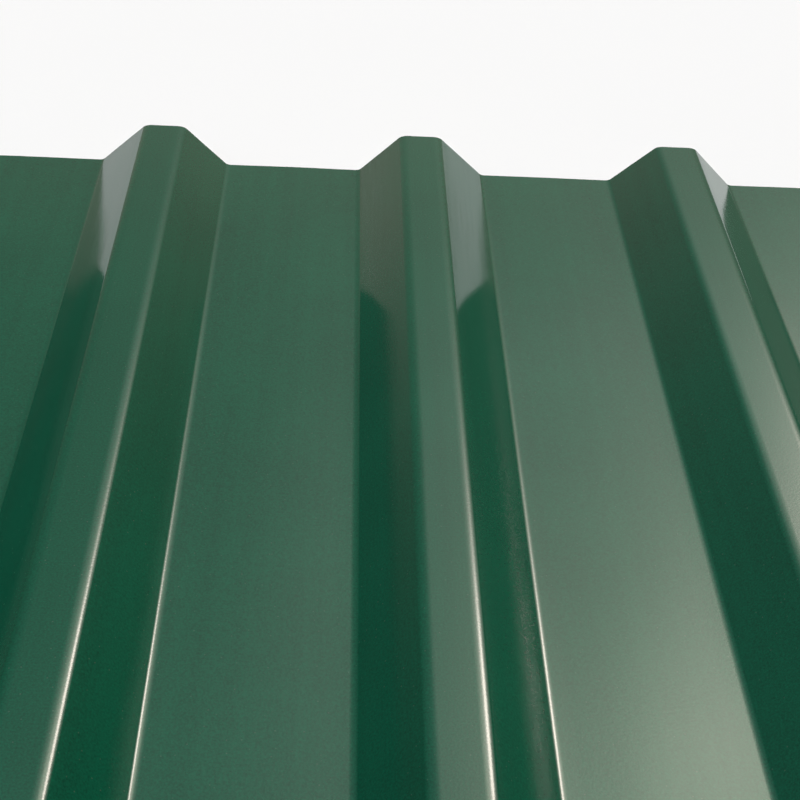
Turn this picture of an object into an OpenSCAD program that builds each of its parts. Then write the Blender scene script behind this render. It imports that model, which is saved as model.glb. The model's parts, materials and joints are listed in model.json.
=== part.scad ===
// Trapezoidal roofing sheet, rolled in one piece from a coil of prepainted steel.
// It lies with its crowns up and its ribs along Y, and the undersides of its pans are on Z = 0.
// The origin is on that plane, below the middle of the sheet. Lengths are in millimetres.

/* [Sheet] */
// Length of the sheet, along its ribs
sheet_length = 2000; // [500:50:6000]
// Thickness of the coated steel
sheet_thickness = 0.6; // [0.4:0.05:1.2]

/* [Ribs] */
// Number of ribs across the sheet
rib_count = 5; // [2:1:8]
// Distance from the middle of one rib to the middle of the next
rib_pitch = 250; // [180:5:350]
// Rise from the pans to the crowns
rib_height = 40; // [25:1:60]
// Width of a crown, between the corners that its bends round off
crown_width = 36; // [26:1:60]
// Width of a rib at its foot, between the corners that its bends round off
foot_width = 121; // [90:1:150]

/* [Bends] */
// Inside radius of the two bends beside a crown
crown_bend_radius = 11; // [2:0.5:12]
// Inside radius of the bend at each foot of a rib
foot_bend_radius = 7; // [2:0.5:12]

/* [Side laps] */
// Width of the flat lip outside the first rib, which goes under the sheet beside it
underlap_lip = 12; // [10:1:40]
// Drop from the last crown to the free edge of its outer web, which goes over the sheet beside it
overlap_drop = 16; // [10:1:24]

/* [Hidden] */

paint_green = [0.04, 0.32, 0.235];

// Straight steps that each bend is drawn with
bend_steps = 8;

// Heights of the sheet's middle plane in the pans and in the crowns
half_thickness = sheet_thickness / 2;
pan_level = half_thickness;
crown_level = rib_height + half_thickness;

// Slope of the webs, and how far the sheet reaches beyond the middles of its outer ribs
web_angle = atan2(rib_height, (foot_width - crown_width) / 2);
underlap_reach = foot_width / 2 + underlap_lip;
overlap_edge_x = crown_width / 2 + overlap_drop / tan(web_angle);
overlap_reach = overlap_edge_x + half_thickness * sin(web_angle);

// The ribs stand to one side of the origin, so that the sheet with its two laps is centred on it
first_rib_x = (underlap_reach - overlap_reach - (rib_count - 1) * rib_pitch) / 2;
last_rib_x = first_rib_x + (rib_count - 1) * rib_pitch;

// Sharp corners of one rib on the middle plane, from its left foot to its right foot
function rib_corners(x) = [
    [x - foot_width / 2, pan_level],
    [x - crown_width / 2, crown_level],
    [x + crown_width / 2, crown_level],
    [x + foot_width / 2, pan_level]
];

// Sharp corners right across the sheet, from the underlap's edge to the overlap's edge.
// The last rib has no right foot: its outer web ends in the air.
all_rib_corners = [
    for (rib = [0 : rib_count - 1])
        each rib_corners(first_rib_x + rib * rib_pitch)
];
section_corners = concat(
    [[first_rib_x - underlap_reach, pan_level]],
    [for (i = [0 : len(all_rib_corners) - 2]) all_rib_corners[i]],
    [[last_rib_x + overlap_edge_x, crown_level - overlap_drop]]
);
last_corner = len(section_corners) - 1;

// Direction from one corner to the next, in degrees above X
function heading(i) =
    let (run = section_corners[i + 1] - section_corners[i])
    atan2(run[1], run[0]);

// Point that lies a given offset above the middle plane, where the sheet runs in this direction
function above(point, direction, offset) = point + offset * [-sin(direction), cos(direction)];

function inside_radius(corner) = corner[1] == crown_level ? crown_bend_radius : foot_bend_radius;

// Points round the bend at one corner, on the surface that lies the offset above the middle plane
function bend_points(i, offset) =
    let (
        corner = section_corners[i],
        direction = heading(i - 1),
        turn = heading(i) - direction,
        side = sign(turn),
        middle_radius = inside_radius(corner) + half_thickness,
        setback = middle_radius * tan(abs(turn) / 2),
        start = corner - setback * [cos(direction), sin(direction)],
        centre = above(start, direction, side * middle_radius)
    )
    [
        for (step = [0 : bend_steps])
            above(centre, direction + turn * step / bend_steps, offset - side * middle_radius)
    ];

// One surface of the sheet across its whole section, from left to right
function surface_points(offset) = concat(
    [above(section_corners[0], heading(0), offset)],
    [for (i = [1 : last_corner - 1]) each bend_points(i, offset)],
    [above(section_corners[last_corner], heading(last_corner - 1), offset)]
);

function reversed(points) = [for (i = [len(points) - 1 : -1 : 0]) points[i]];

// The whole sheet: its bent section, run along the ribs
module ribbed_sheet() {
    color(paint_green)
        rotate([90, 0, 0])
            linear_extrude(height = sheet_length, center = true)
                polygon(concat(surface_points(half_thickness), reversed(surface_points(-half_thickness))));
}

ribbed_sheet();
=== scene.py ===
"""Trapezoidal roofing sheet of prepainted steel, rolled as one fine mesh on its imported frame."""

import json
import math
from collections import namedtuple

import bpy
from bpy.props import CollectionProperty, FloatProperty, FloatVectorProperty, IntProperty, PointerProperty
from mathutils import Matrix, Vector


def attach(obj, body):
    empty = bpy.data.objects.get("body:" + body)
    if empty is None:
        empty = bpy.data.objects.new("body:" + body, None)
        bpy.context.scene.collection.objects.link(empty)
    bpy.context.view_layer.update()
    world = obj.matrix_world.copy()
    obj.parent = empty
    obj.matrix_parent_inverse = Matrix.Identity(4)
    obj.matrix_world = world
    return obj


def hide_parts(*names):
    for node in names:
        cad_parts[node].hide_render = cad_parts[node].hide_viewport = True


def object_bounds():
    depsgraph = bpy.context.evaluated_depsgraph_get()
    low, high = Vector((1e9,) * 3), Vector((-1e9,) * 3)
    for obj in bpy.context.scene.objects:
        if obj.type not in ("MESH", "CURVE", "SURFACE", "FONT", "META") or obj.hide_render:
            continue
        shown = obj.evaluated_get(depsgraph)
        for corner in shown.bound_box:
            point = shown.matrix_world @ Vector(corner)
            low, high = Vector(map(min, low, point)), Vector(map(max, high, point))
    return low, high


bl_info = {
    "name": "Ribbed Roofing Sheet",
    "version": (1, 0, 0),
    "blender": (4, 5, 0),
    "location": "View3D > Sidebar > Ribbed Sheet",
    "description": "Rolls a prepainted trapezoidal roofing sheet and sets up its studio",
    "category": "Object",
}

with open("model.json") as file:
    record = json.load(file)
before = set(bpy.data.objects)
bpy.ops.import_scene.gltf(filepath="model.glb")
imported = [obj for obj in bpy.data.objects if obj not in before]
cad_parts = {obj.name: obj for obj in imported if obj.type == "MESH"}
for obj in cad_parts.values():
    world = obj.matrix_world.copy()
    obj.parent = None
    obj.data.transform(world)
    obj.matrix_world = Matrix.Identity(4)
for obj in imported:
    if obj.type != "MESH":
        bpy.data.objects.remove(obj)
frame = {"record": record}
CAD_LOW, CAD_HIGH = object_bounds()

# Height between the pans, which lie lower, and the crowns, which lie higher
MIDDLE_LEVEL = (CAD_LOW.z + CAD_HIGH.z) / 2

SHEET_NODE = "ribbed_sheet"
SHEET_BODY = "root"

# Middles of the ribs along X, from the first rib to the last
CROWN_MOUNTS = [mount for mount in frame["record"]["mounts"] if mount["name"].startswith("crown_top")]
RIB_MIDDLES = sorted(mount["pos_m"][0] for mount in CROWN_MOUNTS)

# Share of a rib's height about which it leans, so that its feet move a little the other way
FLEX_PIVOT = 0.25

# Slope, in radians, below which a run of the section counts as level
LEVEL_SLOPE = 0.01

# Middle of a step of a bend, and of the whole bend, where it has the radius that is set
HALFWAY = 0.5

# Fewest strips of mesh across a flat run, so that its waves show
FEWEST_STRIPS = 2

# How many times longer the narrow row at a sheared end is than that end is drawn down
SHEAR_ROW_STRETCH = 2

# Edges of the mesh that turn more than this stay sharp
SHARP_ANGLE = math.radians(20)

# The slight waves along each flat run: share of the long ones, short ones to each long one,
# and how far each kind is shifted from one run of the section to the next, in radians
LONG_WAVE_SHARE = 0.6
SHORT_WAVES_PER_LONG = 2.3
LONG_WAVE_SHIFT = 2.4
SHORT_WAVE_SHIFT = 1.7

# Order of the sheet's materials on its mesh
TOP_COAT, BACKING_COAT, CUT_EDGE = range(3)

# Range that most values of a noise lie in
NOISE_RANGE = (0.3, 0.7)

# Layers of finer and finer noise in a pattern, from the smoothest kind to the most ragged
SMOOTH_DETAIL = 1.5
FINE_DETAIL = 2.0
MOTTLED_DETAIL = 3.0
RAGGED_DETAIL = 4.0

# Widths of the patterns in the materials, and the spacing of the dust, in metres
PATCH_WIDTH = 0.12
STREAK_WIDTH = 0.012
SCUFF_WIDTH = 0.004
DUST_SPACING = 0.00625
BACKING_MOTTLE_WIDTH = 0.02
BACKING_STREAK_WIDTH = 0.008
BACKING_PEEL_WIDTH = 0.0015
EDGE_GRAIN_WIDTH = 0.0012
FLOOR_MOTTLE_WIDTH = 0.6

# Height of the fine bumps in the backing coat, in metres
BACKING_PEEL_HEIGHT = 0.000008

# How many times streaks and scuffs are longer than they are wide
STREAK_STRETCH = 50
SCUFF_STRETCH = 20

# Shares of the streaks among the broad patterns of the top coat, and of the grain among all of them
STREAK_SHARE = 0.4
GRAIN_SHARE = 0.6

# A dust speck's radius as a share of the spacing, where it has faded out, and how much it covers
DUST_RADIUS = 0.05
DUST_FADED = 0.10
DUST_COVER = 0.5

# Values of the scuff noise between which the top coat goes from glossy to scuffed
SCUFF_RANGE = (0.45, 0.8)

# Share of the streaks in the backing coat's pattern, and the values of that pattern between which
# the coat goes from its dark shade to its light one
BACKING_STREAK_SHARE = 0.5
BACKING_RANGE = (0.35, 0.65)

# Dark and light shades of each mottled colour, as shares of it
BACKING_SHADES = (0.9, 1.08)
EDGE_SHADES = (0.6, 1.2)
FLOOR_SHADES = (0.99, 1.01)

# The floor lies this far under the sheet, in metres, so that the two faces don't coincide
FLOOR_GAP = 0.0003

# Straight sides that the round floor is drawn with, and how rough it is
FLOOR_SIDES = 96
FLOOR_ROUGHNESS = 0.9

# How far a direction points along +Y where the pale haze on the horizon has ended, and where it is full,
# and the share of the haze's height above which it thins out
HAZE_END = 0.4
HAZE_FULL = 0.1
HAZE_THINS = 0.5

# Width of the camera's sensor, in millimetres, and the nearest and farthest that it sees, in metres
SENSOR_WIDTH = 36.0
NEAREST_SEEN = 0.01
FARTHEST_SEEN = 1000.0

# One line across the sheet's section: a point of the middle plane, the direction that the sheet runs in,
# the flat run it belongs to (None in a bend) and how far across that run it lies, from 0 to 1
Station = namedtuple("Station", "x z heading run share")

# Soft lights that the studio starts with, their angles in degrees
LightPlan = namedtuple("LightPlan", "name colour strength azimuth height radius fade")
STUDIO_LIGHTS = (
    LightPlan("Key", (1.0, 0.88, 0.78), strength=25.5, azimuth=38.5, height=39.5, radius=3.5, fade=3.5),
    LightPlan("Trail", (1.0, 0.90, 0.80), strength=1.2, azimuth=44, height=25, radius=5, fade=3.5),
    LightPlan("Glow", (0.98, 0.98, 0.78), strength=5.5, azimuth=26.5, height=52, radius=2.5, fade=6),
    LightPlan("Halo", (0.96, 0.99, 0.95), strength=0.85, azimuth=20, height=48.5, radius=13.5, fade=7),
    LightPlan("Backdrop", (1.0, 0.90, 0.73), strength=0.55, azimuth=-2, height=-3, radius=30, fade=11),
    LightPlan("Overhead", (0.93, 1.0, 1.06), strength=1.25, azimuth=260, height=69, radius=26.5, fade=13.5),
)


class SheetSizes(bpy.types.PropertyGroup):
    """Sizes of the rolled sheet that its frame doesn't give"""

    thickness: FloatProperty(
        name="Thickness",
        description="Thickness of the coated steel",
        default=0.0006,
        precision=5,
        unit="LENGTH",
    )
    crown_width: FloatProperty(
        name="Crown width",
        description="Width of a crown, between the corners that its bends round off",
        default=0.036,
        precision=4,
        unit="LENGTH",
    )
    foot_width: FloatProperty(
        name="Foot width",
        description="Width of a rib at its foot, between the corners that its bends round off",
        default=0.121,
        precision=4,
        unit="LENGTH",
    )
    rib_lean: FloatVectorProperty(
        name="Rib lean",
        description="How far each crown is flexed to the right, from the first rib to the last",
        default=(0.0, 0.0011, -0.0017, 0.0, 0.0),
        size=5,
        precision=5,
        unit="LENGTH",
    )
    crown_bend: FloatProperty(
        name="Crown bend",
        description="Inside radius halfway round the two bends beside a crown",
        default=0.011,
        precision=4,
        unit="LENGTH",
    )
    foot_bend: FloatProperty(
        name="Foot bend",
        description="Inside radius halfway round the bend at each foot of a rib",
        default=0.007,
        precision=4,
        unit="LENGTH",
    )
    bend_opening: FloatProperty(
        name="Bend opening",
        description="How many times wider a bend is at the level flat beside it than at the web",
        default=5.0,
        min=1.0,
    )
    bend_steps: IntProperty(
        name="Bend steps",
        description="Straight steps that each bend is drawn with",
        default=14,
        min=4,
    )
    strip_width: FloatProperty(
        name="Strip width",
        description="Widest strip of mesh across the flat runs of the section",
        default=0.014,
        precision=4,
        unit="LENGTH",
    )
    row_length: FloatProperty(
        name="Row length",
        description="Longest row of mesh along the ribs",
        default=0.025,
        precision=4,
        unit="LENGTH",
    )
    shear_round: FloatProperty(
        name="Shear rounding",
        description="How far the shear blade drew the upper face down at the two cut ends",
        default=0.00015,
        precision=6,
        unit="LENGTH",
    )
    pan_wave: FloatProperty(
        name="Pan wave",
        description="Highest rise of the slight waves in the pans",
        default=0.0004,
        precision=5,
        unit="LENGTH",
    )
    crown_wave: FloatProperty(
        name="Crown wave",
        description="Deepest dip of the slight waves in the crowns",
        default=0.00015,
        precision=5,
        unit="LENGTH",
    )
    web_wave: FloatProperty(
        name="Web wave",
        description="Height of the slight waves in the webs, to either side",
        default=0.00015,
        precision=5,
        unit="LENGTH",
    )
    wave_length: FloatProperty(
        name="Wave length",
        description="Length of the longer of the two waves that run along each flat",
        default=0.46,
        precision=3,
        unit="LENGTH",
    )


class CoatFinish(bpy.types.PropertyGroup):
    """Colours and gloss of the sheet's coats and cut edges"""

    top_colour: FloatVectorProperty(
        name="Top coat",
        description="Colour of the green top coat",
        default=(0.0004, 0.075, 0.039),
        subtype="COLOR",
    )
    dust_colour: FloatVectorProperty(
        name="Dust",
        description="Colour of the specks of dust on the top coat",
        default=(0.07, 0.12, 0.09),
        subtype="COLOR",
    )
    top_roughness: FloatProperty(
        name="Top coat roughness",
        description="Roughness of the top coat",
        default=0.09,
        subtype="FACTOR",
    )
    scuff_dulling: FloatProperty(
        name="Scuff dulling",
        description="How much rougher the faint scuffs along the ribs are",
        default=0.05,
        subtype="FACTOR",
    )
    grain_size: FloatProperty(
        name="Grain size",
        description="Width of the fine specks of lighter and darker paint",
        default=0.0014,
        precision=4,
        unit="LENGTH",
    )
    tone_range: FloatProperty(
        name="Tone range",
        description="How far the paint's patches, streaks and specks go to either side of its colour",
        default=0.34,
        subtype="FACTOR",
    )
    top_ior: FloatProperty(
        name="Top coat IOR",
        description="Refractive index of the top coat",
        default=1.42,
    )
    peel_size: FloatProperty(
        name="Orange peel size",
        description="Width of the fine bumps that the top coat dried with",
        default=0.0016,
        precision=4,
        unit="LENGTH",
    )
    peel_height: FloatProperty(
        name="Orange peel height",
        description="Height of those bumps",
        default=0.000030,
        precision=7,
        unit="LENGTH",
    )
    backing_colour: FloatVectorProperty(
        name="Backing coat",
        description="Colour of the grey coat on the underside",
        default=(0.40, 0.41, 0.39),
        subtype="COLOR",
    )
    backing_roughness: FloatProperty(
        name="Backing coat roughness",
        description="Roughness of the coat on the underside",
        default=0.45,
        subtype="FACTOR",
    )
    edge_colour: FloatVectorProperty(
        name="Cut edge",
        description="Colour of the zinc and steel that show at the cut edges",
        default=(0.34, 0.35, 0.35),
        subtype="COLOR",
    )
    edge_roughness: FloatProperty(
        name="Cut edge roughness",
        description="Roughness of the cut edges",
        default=0.42,
        subtype="FACTOR",
    )


class SoftLight(bpy.types.PropertyGroup):
    """Round soft light in the studio's sky, even in its middle and fading outwards"""

    colour: FloatVectorProperty(
        name="Colour",
        description="Colour of the light",
        default=(1.0, 1.0, 1.0),
        subtype="COLOR",
    )
    strength: FloatProperty(
        name="Strength",
        description="Brightness of the even middle, where 1 is white",
        default=1.0,
    )
    azimuth: FloatProperty(
        name="Azimuth",
        description="Direction of the light on the floor, from +Y towards +X",
        default=0.0,
        subtype="ANGLE",
    )
    height: FloatProperty(
        name="Height",
        description="Height of the light above the horizon",
        default=0.0,
        subtype="ANGLE",
    )
    radius: FloatProperty(
        name="Radius",
        description="Half the width of the even middle",
        default=0.1,
        subtype="ANGLE",
    )
    fade: FloatProperty(
        name="Fade",
        description="Angle over which the light falls to about a third",
        default=0.1,
        subtype="ANGLE",
    )


class StudioSettings(bpy.types.PropertyGroup):
    """Camera, floor and even light of the studio"""

    camera_location: FloatVectorProperty(
        name="Camera location",
        description="Where the camera stands, in the sheet's frame",
        default=(-0.065, -0.224, 0.691),
        subtype="TRANSLATION",
        unit="LENGTH",
    )
    camera_rotation: FloatVectorProperty(
        name="Camera rotation",
        description="Turn of the camera about X, Y and Z",
        default=(math.radians(51.29), math.radians(-3.33), math.radians(-1.13)),
        subtype="EULER",
        unit="ROTATION",
    )
    lens: FloatProperty(
        name="Lens",
        description="Focal length of the camera on a 36 mm sensor",
        default=63.0,
        unit="CAMERA",
    )
    floor_colour: FloatVectorProperty(
        name="Floor",
        description="Colour of the floor",
        default=(0.945, 0.945, 0.98),
        subtype="COLOR",
    )
    floor_radius: FloatProperty(
        name="Floor radius",
        description="Radius of the round floor",
        default=300.0,
        unit="LENGTH",
    )
    haze_colour: FloatVectorProperty(
        name="Haze",
        description="Colour of the haze on the horizon and of the even light",
        default=(1.0, 1.0, 1.0),
        subtype="COLOR",
    )
    horizon_height: FloatProperty(
        name="Horizon height",
        description="Height above the horizon at which its pale haze ends",
        default=math.radians(2.4),
        subtype="ANGLE",
    )
    base_strength: FloatProperty(
        name="Base strength",
        description="Even light from every side",
        default=0.002,
    )


# Shape of the sheet

def section_corners(sizes):
    """Sharp corners of the middle plane right across the sheet, from the underlap's edge to the overlap's."""
    half = sizes.thickness / 2
    pan = CAD_LOW.z + half
    crown = CAD_HIGH.z - half
    foot = sizes.foot_width / 2
    shoulder = sizes.crown_width / 2
    slope = math.atan2(crown - pan, foot - shoulder)
    corners = [Vector((CAD_LOW.x, pan))]
    for middle, lean in zip(RIB_MIDDLES, sizes.rib_lean):
        foot_middle = middle - lean * FLEX_PIVOT / (1 - FLEX_PIVOT)
        corners.append(Vector((foot_middle - foot, pan)))
        corners.append(Vector((middle + lean - shoulder, crown)))
        corners.append(Vector((middle + lean + shoulder, crown)))
        corners.append(Vector((foot_middle + foot, pan)))
    # The last rib has no right foot: its outer web ends in the air
    edge_x = CAD_HIGH.x - half * math.sin(slope)
    run = edge_x - RIB_MIDDLES[-1] - shoulder
    corners[-1] = Vector((edge_x, crown - run * math.tan(slope)))
    return corners


def heading_between(start, end):
    """Angle above X of the run from one point of the section to another."""
    return math.atan2(end.y - start.y, end.x - start.x)


def direction_of(heading):
    """Unit vector in the section, at this angle above X."""
    return Vector((math.cos(heading), math.sin(heading)))


def bend_points(corner, heading, turn, radius, sizes):
    """Points round the bend at one corner, which opens out from the web towards the level flat."""
    from_level = abs(heading) < LEVEL_SLOPE
    step_turn = turn / sizes.bend_steps
    steps = [Vector((0.0, 0.0))]
    for step in range(sizes.bend_steps):
        share = (step + HALFWAY) / sizes.bend_steps
        web_share = share if from_level else 1 - share
        step_radius = radius * sizes.bend_opening ** (HALFWAY - web_share)
        steps.append(steps[-1] + step_radius * abs(step_turn) * direction_of(heading + turn * share))
    # The bend has to end on the run beyond the corner, which tells how far before the corner it starts
    beyond = direction_of(heading + turn)
    setback = steps[-1].cross(beyond) / direction_of(heading).cross(beyond)
    start = corner - setback * direction_of(heading)
    return [start + step for step in steps]


def section_stations(sizes):
    """Stations right across the sheet: steps round each bend and even strips across each flat run."""
    corners = section_corners(sizes)
    half = sizes.thickness / 2
    stations = []
    run_start = corners[0]
    for index in range(1, len(corners)):
        corner = corners[index]
        heading = heading_between(corners[index - 1], corner)
        is_last = index == len(corners) - 1
        run_end = corner
        if not is_last:
            inside = sizes.crown_bend if corner.y > MIDDLE_LEVEL else sizes.foot_bend
            turn = heading_between(corner, corners[index + 1]) - heading
            bend = bend_points(corner, heading, turn, inside + half, sizes)
            run_end = bend[0]
        strips = max(FEWEST_STRIPS, math.ceil((run_end - run_start).length / sizes.strip_width))
        for strip in range(strips + 1):
            share = strip / strips
            point = run_start.lerp(run_end, share)
            stations.append(Station(point.x, point.y, heading, index - 1, share))
        if is_last:
            break
        for step in range(1, sizes.bend_steps):
            angle = heading + turn * step / sizes.bend_steps
            stations.append(Station(bend[step].x, bend[step].y, angle, None, 0.0))
        run_start = bend[-1]
    return stations


def row_places(sizes):
    """Places of the mesh's rows along the ribs, with a narrow row at each sheared end."""
    low = CAD_LOW.y
    high = CAD_HIGH.y
    steps = math.ceil((high - low) / sizes.row_length)
    inner = [low + (high - low) * step / steps for step in range(1, steps)]
    narrow = SHEAR_ROW_STRETCH * sizes.shear_round
    return [low, low + narrow, *inner, high - narrow, high]


def wave_height(station, y, sizes):
    """How far the slight waves of rolled sheet lift it off its true surface: pans rise and crowns dip."""
    if station.run is None:
        return 0.0
    turn = 2 * math.pi * y / sizes.wave_length
    long_wave = math.sin(turn + LONG_WAVE_SHIFT * station.run)
    short_wave = math.sin(SHORT_WAVES_PER_LONG * turn + SHORT_WAVE_SHIFT * station.run)
    wave = LONG_WAVE_SHARE * long_wave + (1 - LONG_WAVE_SHARE) * short_wave
    across = math.sin(math.pi * station.share) ** 2
    if abs(station.heading) > LEVEL_SLOPE:
        return sizes.web_wave * across * wave
    if station.z > MIDDLE_LEVEL:
        return -sizes.crown_wave * across * (1 + wave) / 2
    return sizes.pan_wave * across * (1 + wave) / 2


def sheet_points(stations, rows, sizes):
    """Points of the upper face, row by row, and then those of the underside."""
    half = sizes.thickness / 2
    ends = (rows[0], rows[-1])
    points = []
    for side in (1, -1):
        for y in rows:
            drawn_down = sizes.shear_round if side == 1 and y in ends else 0.0
            for station in stations:
                lift = wave_height(station, y, sizes) + side * half - drawn_down
                x = station.x - lift * math.sin(station.heading)
                z = station.z + lift * math.cos(station.heading)
                points.append((x, y, z))
    return points


def sheet_faces(across, along):
    """Faces between so many stations and rows of points, and the coat that each of them has."""
    last_row = along - 1
    last_column = across - 1
    faces = []
    coats = []

    def top(row, column):
        return row * across + column

    def under(row, column):
        return (along + row) * across + column

    def add_face(coat, *corners):
        faces.append(corners)
        coats.append(coat)

    for row in range(last_row):
        for column in range(last_column):
            here = (row, column)
            right = (row, column + 1)
            beyond = (row + 1, column + 1)
            ahead = (row + 1, column)
            add_face(TOP_COAT, top(*here), top(*right), top(*beyond), top(*ahead))
            add_face(BACKING_COAT, under(*here), under(*ahead), under(*beyond), under(*right))
        add_face(CUT_EDGE, top(row, 0), top(row + 1, 0), under(row + 1, 0), under(row, 0))
        add_face(
            CUT_EDGE,
            top(row, last_column),
            under(row, last_column),
            under(row + 1, last_column),
            top(row + 1, last_column),
        )
    for column in range(last_column):
        add_face(CUT_EDGE, top(0, column), under(0, column), under(0, column + 1), top(0, column + 1))
        add_face(
            CUT_EDGE,
            top(last_row, column),
            top(last_row, column + 1),
            under(last_row, column + 1),
            under(last_row, column),
        )

    return faces, coats


def sheet_mesh(sizes):
    """Mesh of the whole sheet: its upper face, its underside and the cut edges between them."""
    stations = section_stations(sizes)
    rows = row_places(sizes)
    faces, coats = sheet_faces(len(stations), len(rows))
    mesh = bpy.data.meshes.new(SHEET_NODE + "_rolled")
    mesh.from_pydata(sheet_points(stations, rows, sizes), [], faces)
    mesh.polygons.foreach_set("material_index", coats)
    mesh.shade_smooth()
    mesh.set_sharp_from_angle(angle=SHARP_ANGLE)
    mesh.validate()
    return mesh


# Node helpers

def feed(tree, socket, value):
    """Links a socket to another one, or sets it to a plain value."""
    if isinstance(value, bpy.types.NodeSocket):
        tree.links.new(value, socket)
    else:
        socket.default_value = value


def add_node(tree, kind, inputs, **settings):
    """New node with its settings made and its inputs fed."""
    node = tree.nodes.new(kind)
    for name, value in settings.items():
        setattr(node, name, value)
    for name, value in inputs.items():
        feed(tree, node.inputs[name], value)
    return node


def calculate(tree, operation, *values):
    """Result of one step of arithmetic."""
    node = add_node(tree, "ShaderNodeMath", dict(enumerate(values)), operation=operation)
    return node.outputs[0]


def mixed(tree, data_type, ending, share, first, second):
    """Mix of two inputs of one type, whose sockets have this ending; the share is that of the second."""
    node = add_node(tree, "ShaderNodeMix", {}, data_type=data_type)
    sockets = {socket.identifier: socket for socket in node.inputs}
    feed(tree, sockets["Factor_Float"], share)
    feed(tree, sockets["A_" + ending], first)
    feed(tree, sockets["B_" + ending], second)
    return next(socket for socket in node.outputs if socket.identifier == "Result_" + ending)


def mix_colours(tree, share, first, second):
    return mixed(tree, "RGBA", "Color", share, first, second)


def mix_values(tree, share, first, second):
    return mixed(tree, "FLOAT", "Float", share, first, second)


def remap(tree, value, from_range, to_range=(0.0, 1.0)):
    """Value carried over from one range to another, and held at the ends of it."""
    inputs = {
        "Value": value,
        "From Min": from_range[0],
        "From Max": from_range[1],
        "To Min": to_range[0],
        "To Max": to_range[1],
    }
    return add_node(tree, "ShaderNodeMapRange", inputs).outputs["Result"]


def noise(tree, place, width, detail=FINE_DETAIL):
    """Noise whose patches are about this wide, in metres."""
    inputs = {"Vector": place, "Scale": 1 / width, "Detail": detail}
    return add_node(tree, "ShaderNodeTexNoise", inputs).outputs["Fac"]


def stretched(tree, place, stretch):
    """Places squeezed along the ribs, so that a pattern on them is drawn out lengthwise."""
    inputs = {"Vector": place, "Scale": (1.0, 1 / stretch, 1.0)}
    return add_node(tree, "ShaderNodeMapping", inputs).outputs["Vector"]


def with_alpha(colour, factor=1.0):
    """Opaque colour, this many times as bright."""
    return (*(channel * factor for channel in colour), 1.0)


def shades_of(tree, colour, share, shades):
    """Colour that goes from its dark shade to its light one as the share goes from 0 to 1."""
    dark, light = shades
    return mix_colours(tree, share, with_alpha(colour, dark), with_alpha(colour, light))


def bumps(tree, height_share, height):
    """Normal of a surface with bumps of this height, in metres."""
    inputs = {"Strength": 1.0, "Distance": height, "Height": height_share}
    return add_node(tree, "ShaderNodeBump", inputs).outputs["Normal"]


def new_material(name):
    """New material with an empty tree, and the places on the sheet that its patterns follow."""
    material = bpy.data.materials.new(name)
    material.use_nodes = True
    tree = material.node_tree
    tree.nodes.clear()
    place = tree.nodes.new("ShaderNodeTexCoord").outputs["Object"]
    return material, tree, place


def finish_material(tree, inputs):
    """Adds the shader, with its inputs fed, and the material's output."""
    shader = add_node(tree, "ShaderNodeBsdfPrincipled", inputs)
    add_node(tree, "ShaderNodeOutputMaterial", {"Surface": shader.outputs["BSDF"]})


# Materials

def top_coat_material(finish):
    """Glossy green paint with fine grain, orange peel, faint roller streaks and a few specks of dust."""
    material, tree, place = new_material("green_top_coat")
    patches = noise(tree, place, PATCH_WIDTH, detail=MOTTLED_DETAIL)
    streaks = noise(tree, stretched(tree, place, STREAK_STRETCH), STREAK_WIDTH, detail=MOTTLED_DETAIL)
    grain = noise(tree, place, finish.grain_size)
    broad = mix_values(tree, STREAK_SHARE, patches, streaks)
    tone = remap(tree, mix_values(tree, GRAIN_SHARE, broad, grain), NOISE_RANGE)
    paint = shades_of(tree, finish.top_colour, tone, (1 - finish.tone_range, 1 + finish.tone_range))
    cells = add_node(tree, "ShaderNodeTexVoronoi", {"Vector": place, "Scale": 1 / DUST_SPACING})
    specks = remap(tree, cells.outputs["Distance"], (DUST_FADED, DUST_RADIUS), (0.0, DUST_COVER))
    scuffs = noise(tree, stretched(tree, place, SCUFF_STRETCH), SCUFF_WIDTH, detail=RAGGED_DETAIL)
    scuffed = finish.top_roughness + finish.scuff_dulling
    peel = noise(tree, place, finish.peel_size, detail=SMOOTH_DETAIL)
    inputs = {
        "Base Color": mix_colours(tree, specks, paint, with_alpha(finish.dust_colour)),
        "Roughness": remap(tree, scuffs, SCUFF_RANGE, (finish.top_roughness, scuffed)),
        "IOR": finish.top_ior,
        "Normal": bumps(tree, peel, finish.peel_height),
    }
    finish_material(tree, inputs)
    return material


def backing_coat_material(finish):
    """Thin grey coat of the underside, a little mottled, with the roller's streaks in it."""
    material, tree, place = new_material("grey_backing_coat")
    mottle = noise(tree, place, BACKING_MOTTLE_WIDTH, detail=RAGGED_DETAIL)
    streaks = noise(tree, stretched(tree, place, STREAK_STRETCH), BACKING_STREAK_WIDTH, detail=MOTTLED_DETAIL)
    tone = remap(tree, mix_values(tree, BACKING_STREAK_SHARE, mottle, streaks), BACKING_RANGE)
    inputs = {
        "Base Color": shades_of(tree, finish.backing_colour, tone, BACKING_SHADES),
        "Roughness": finish.backing_roughness,
        "Normal": bumps(tree, noise(tree, place, BACKING_PEEL_WIDTH), BACKING_PEEL_HEIGHT),
    }
    finish_material(tree, inputs)
    return material


def cut_edge_material(finish):
    """Bare zinc and steel of the sheared ends and slit sides."""
    material, tree, place = new_material("bare_cut_edge")
    tone = remap(tree, noise(tree, place, EDGE_GRAIN_WIDTH, detail=MOTTLED_DETAIL), NOISE_RANGE)
    inputs = {
        "Base Color": shades_of(tree, finish.edge_colour, tone, EDGE_SHADES),
        "Metallic": 1.0,
        "Roughness": finish.edge_roughness,
    }
    finish_material(tree, inputs)
    return material


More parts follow.
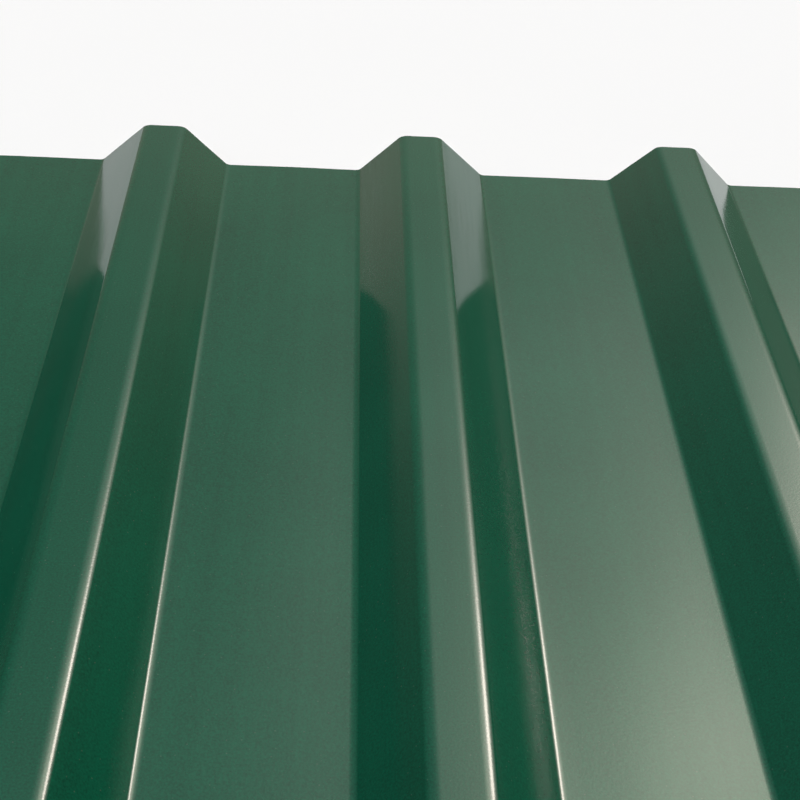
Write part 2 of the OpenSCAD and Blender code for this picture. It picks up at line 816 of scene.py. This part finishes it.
def floor_material(studio):
    """Plain pale floor, hardly mottled and without gloss."""
    material, tree, place = new_material("pale_floor")
    mottle = noise(tree, place, FLOOR_MOTTLE_WIDTH, detail=MOTTLED_DETAIL)
    inputs = {
        "Base Color": shades_of(tree, studio.floor_colour, mottle, FLOOR_SHADES),
        "Roughness": FLOOR_ROUGHNESS,
        "Specular IOR Level": 0.0,
    }
    finish_material(tree, inputs)
    return material


# Studio

def floor_object(studio):
    """Round floor that the sheet lies on."""
    corners = []
    for side in range(FLOOR_SIDES):
        angle = 2 * math.pi * side / FLOOR_SIDES
        x = studio.floor_radius * math.cos(angle)
        y = studio.floor_radius * math.sin(angle)
        corners.append((x, y, 0.0))
    mesh = bpy.data.meshes.new("floor")
    mesh.from_pydata(corners, [], [tuple(range(FLOOR_SIDES))])
    mesh.materials.append(floor_material(studio))
    floor = bpy.data.objects.new("floor", mesh)
    floor.location.z = CAD_LOW.z - FLOOR_GAP
    bpy.context.scene.collection.objects.link(floor)


def hang_lights(lights):
    """Fills the list of soft lights from their plan, unless it holds some already."""
    if lights:
        return
    for plan in STUDIO_LIGHTS:
        light = lights.add()
        light.name = plan.name
        light.colour = plan.colour
        light.strength = plan.strength
        light.azimuth = math.radians(plan.azimuth)
        light.height = math.radians(plan.height)
        light.radius = math.radians(plan.radius)
        light.fade = math.radians(plan.fade)


def glow_shader(tree, colour, strength):
    """Background shader of one colour and strength."""
    inputs = {"Color": with_alpha(colour), "Strength": strength}
    return add_node(tree, "ShaderNodeBackground", inputs).outputs["Background"]


def light_shader(tree, direction, light):
    """Background shader of one soft light, full within its radius and fading beyond it."""
    towards = Vector((
        math.sin(light.azimuth) * math.cos(light.height),
        math.cos(light.azimuth) * math.cos(light.height),
        math.sin(light.height),
    ))
    dot = add_node(tree, "ShaderNodeVectorMath", {0: direction, 1: towards}, operation="DOT_PRODUCT")
    angle = calculate(tree, "ARCCOSINE", dot.outputs["Value"])
    inside = calculate(tree, "SUBTRACT", light.radius, angle)
    fall = calculate(tree, "EXPONENT", calculate(tree, "DIVIDE", inside, light.fade))
    level = calculate(tree, "MULTIPLY", calculate(tree, "MINIMUM", fall, 1.0), light.strength)
    return glow_shader(tree, light.colour, level)


def haze_shader(tree, direction, studio):
    """Background shader of the pale haze on the horizon, beside the sheet and on the camera's side of it."""
    parts = add_node(tree, "ShaderNodeSeparateXYZ", {"Vector": direction}).outputs
    top = math.sin(studio.horizon_height)
    low = remap(tree, parts["Z"], (top * HAZE_THINS, top), (1.0, 0.0))
    behind = remap(tree, parts["Y"], (HAZE_END, HAZE_FULL))
    return glow_shader(tree, studio.haze_colour, calculate(tree, "MULTIPLY", low, behind))


def studio_world(studio, lights):
    """Sky of soft lights on an even base, with a pale haze on the horizon."""
    world = bpy.data.worlds.new("studio")
    world.use_nodes = True
    tree = world.node_tree
    tree.nodes.clear()
    direction = tree.nodes.new("ShaderNodeTexCoord").outputs["Generated"]
    shaders = [haze_shader(tree, direction, studio)]
    shaders.extend(light_shader(tree, direction, light) for light in lights)
    total = glow_shader(tree, studio.haze_colour, studio.base_strength)
    for shader in shaders:
        total = add_node(tree, "ShaderNodeAddShader", {0: total, 1: shader}).outputs["Shader"]
    add_node(tree, "ShaderNodeOutputWorld", {"Surface": total})
    bpy.context.scene.world = world


def studio_camera(studio):
    """Camera that looks down on the sheet along its ribs."""
    data = bpy.data.cameras.new("camera")
    data.lens = studio.lens
    data.sensor_width = SENSOR_WIDTH
    data.clip_start = NEAREST_SEEN
    data.clip_end = FARTHEST_SEEN
    camera = bpy.data.objects.new("camera", data)
    camera.location = studio.camera_location
    camera.rotation_euler = studio.camera_rotation
    bpy.context.scene.collection.objects.link(camera)
    bpy.context.scene.camera = camera


# Operators

class RollSheet(bpy.types.Operator):
    """Roll the ribbed sheet and paint it"""

    bl_idname = "ribbed_sheet.roll_sheet"
    bl_label = "Roll Sheet"

    def execute(self, context):
        sizes = context.scene.sheet_sizes
        finish = context.scene.coat_finish
        mesh = sheet_mesh(sizes)
        mesh.materials.append(top_coat_material(finish))
        mesh.materials.append(backing_coat_material(finish))
        mesh.materials.append(cut_edge_material(finish))
        sheet = bpy.data.objects.new("painted_ribbed_sheet", mesh)
        context.scene.collection.objects.link(sheet)
        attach(sheet, SHEET_BODY)
        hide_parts(SHEET_NODE)
        return {"FINISHED"}


class SetStudio(bpy.types.Operator):
    """Set up the camera, the floor and the soft lights"""

    bl_idname = "ribbed_sheet.set_studio"
    bl_label = "Set Studio"

    def execute(self, context):
        studio = context.scene.studio_settings
        lights = context.scene.studio_lights
        context.scene.view_settings.view_transform = "Standard"
        studio_camera(studio)
        floor_object(studio)
        hang_lights(lights)
        studio_world(studio, lights)
        return {"FINISHED"}


class SheetPanel(bpy.types.Panel):
    """Sizes, finish and studio of the ribbed sheet"""

    bl_idname = "VIEW3D_PT_ribbed_sheet"
    bl_label = "Ribbed Sheet"
    bl_space_type = "VIEW_3D"
    bl_region_type = "UI"
    bl_category = "Ribbed Sheet"

    def draw(self, context):
        scene = context.scene
        layout = self.layout
        layout.use_property_split = True
        groups = [
            ("Sheet", scene.sheet_sizes),
            ("Coats", scene.coat_finish),
            ("Studio", scene.studio_settings),
        ]
        groups.extend((light.name, light) for light in scene.studio_lights)
        for title, group in groups:
            box = layout.box()
            box.label(text=title)
            for name in type(group).__annotations__:
                box.prop(group, name)
        layout.operator(RollSheet.bl_idname)
        layout.operator(SetStudio.bl_idname)


CLASSES = (SheetSizes, CoatFinish, SoftLight, StudioSettings, RollSheet, SetStudio, SheetPanel)


def register():
    for cls in CLASSES:
        bpy.utils.register_class(cls)
    bpy.types.Scene.sheet_sizes = PointerProperty(type=SheetSizes)
    bpy.types.Scene.coat_finish = PointerProperty(type=CoatFinish)
    bpy.types.Scene.studio_settings = PointerProperty(type=StudioSettings)
    bpy.types.Scene.studio_lights = CollectionProperty(type=SoftLight)


def unregister():
    del bpy.types.Scene.studio_lights
    del bpy.types.Scene.studio_settings
    del bpy.types.Scene.coat_finish
    del bpy.types.Scene.sheet_sizes
    for cls in reversed(CLASSES):
        bpy.utils.unregister_class(cls)


def main():
    register()
    bpy.ops.ribbed_sheet.set_studio()
    bpy.ops.ribbed_sheet.roll_sheet()


if __name__ == "__main__":
    main()
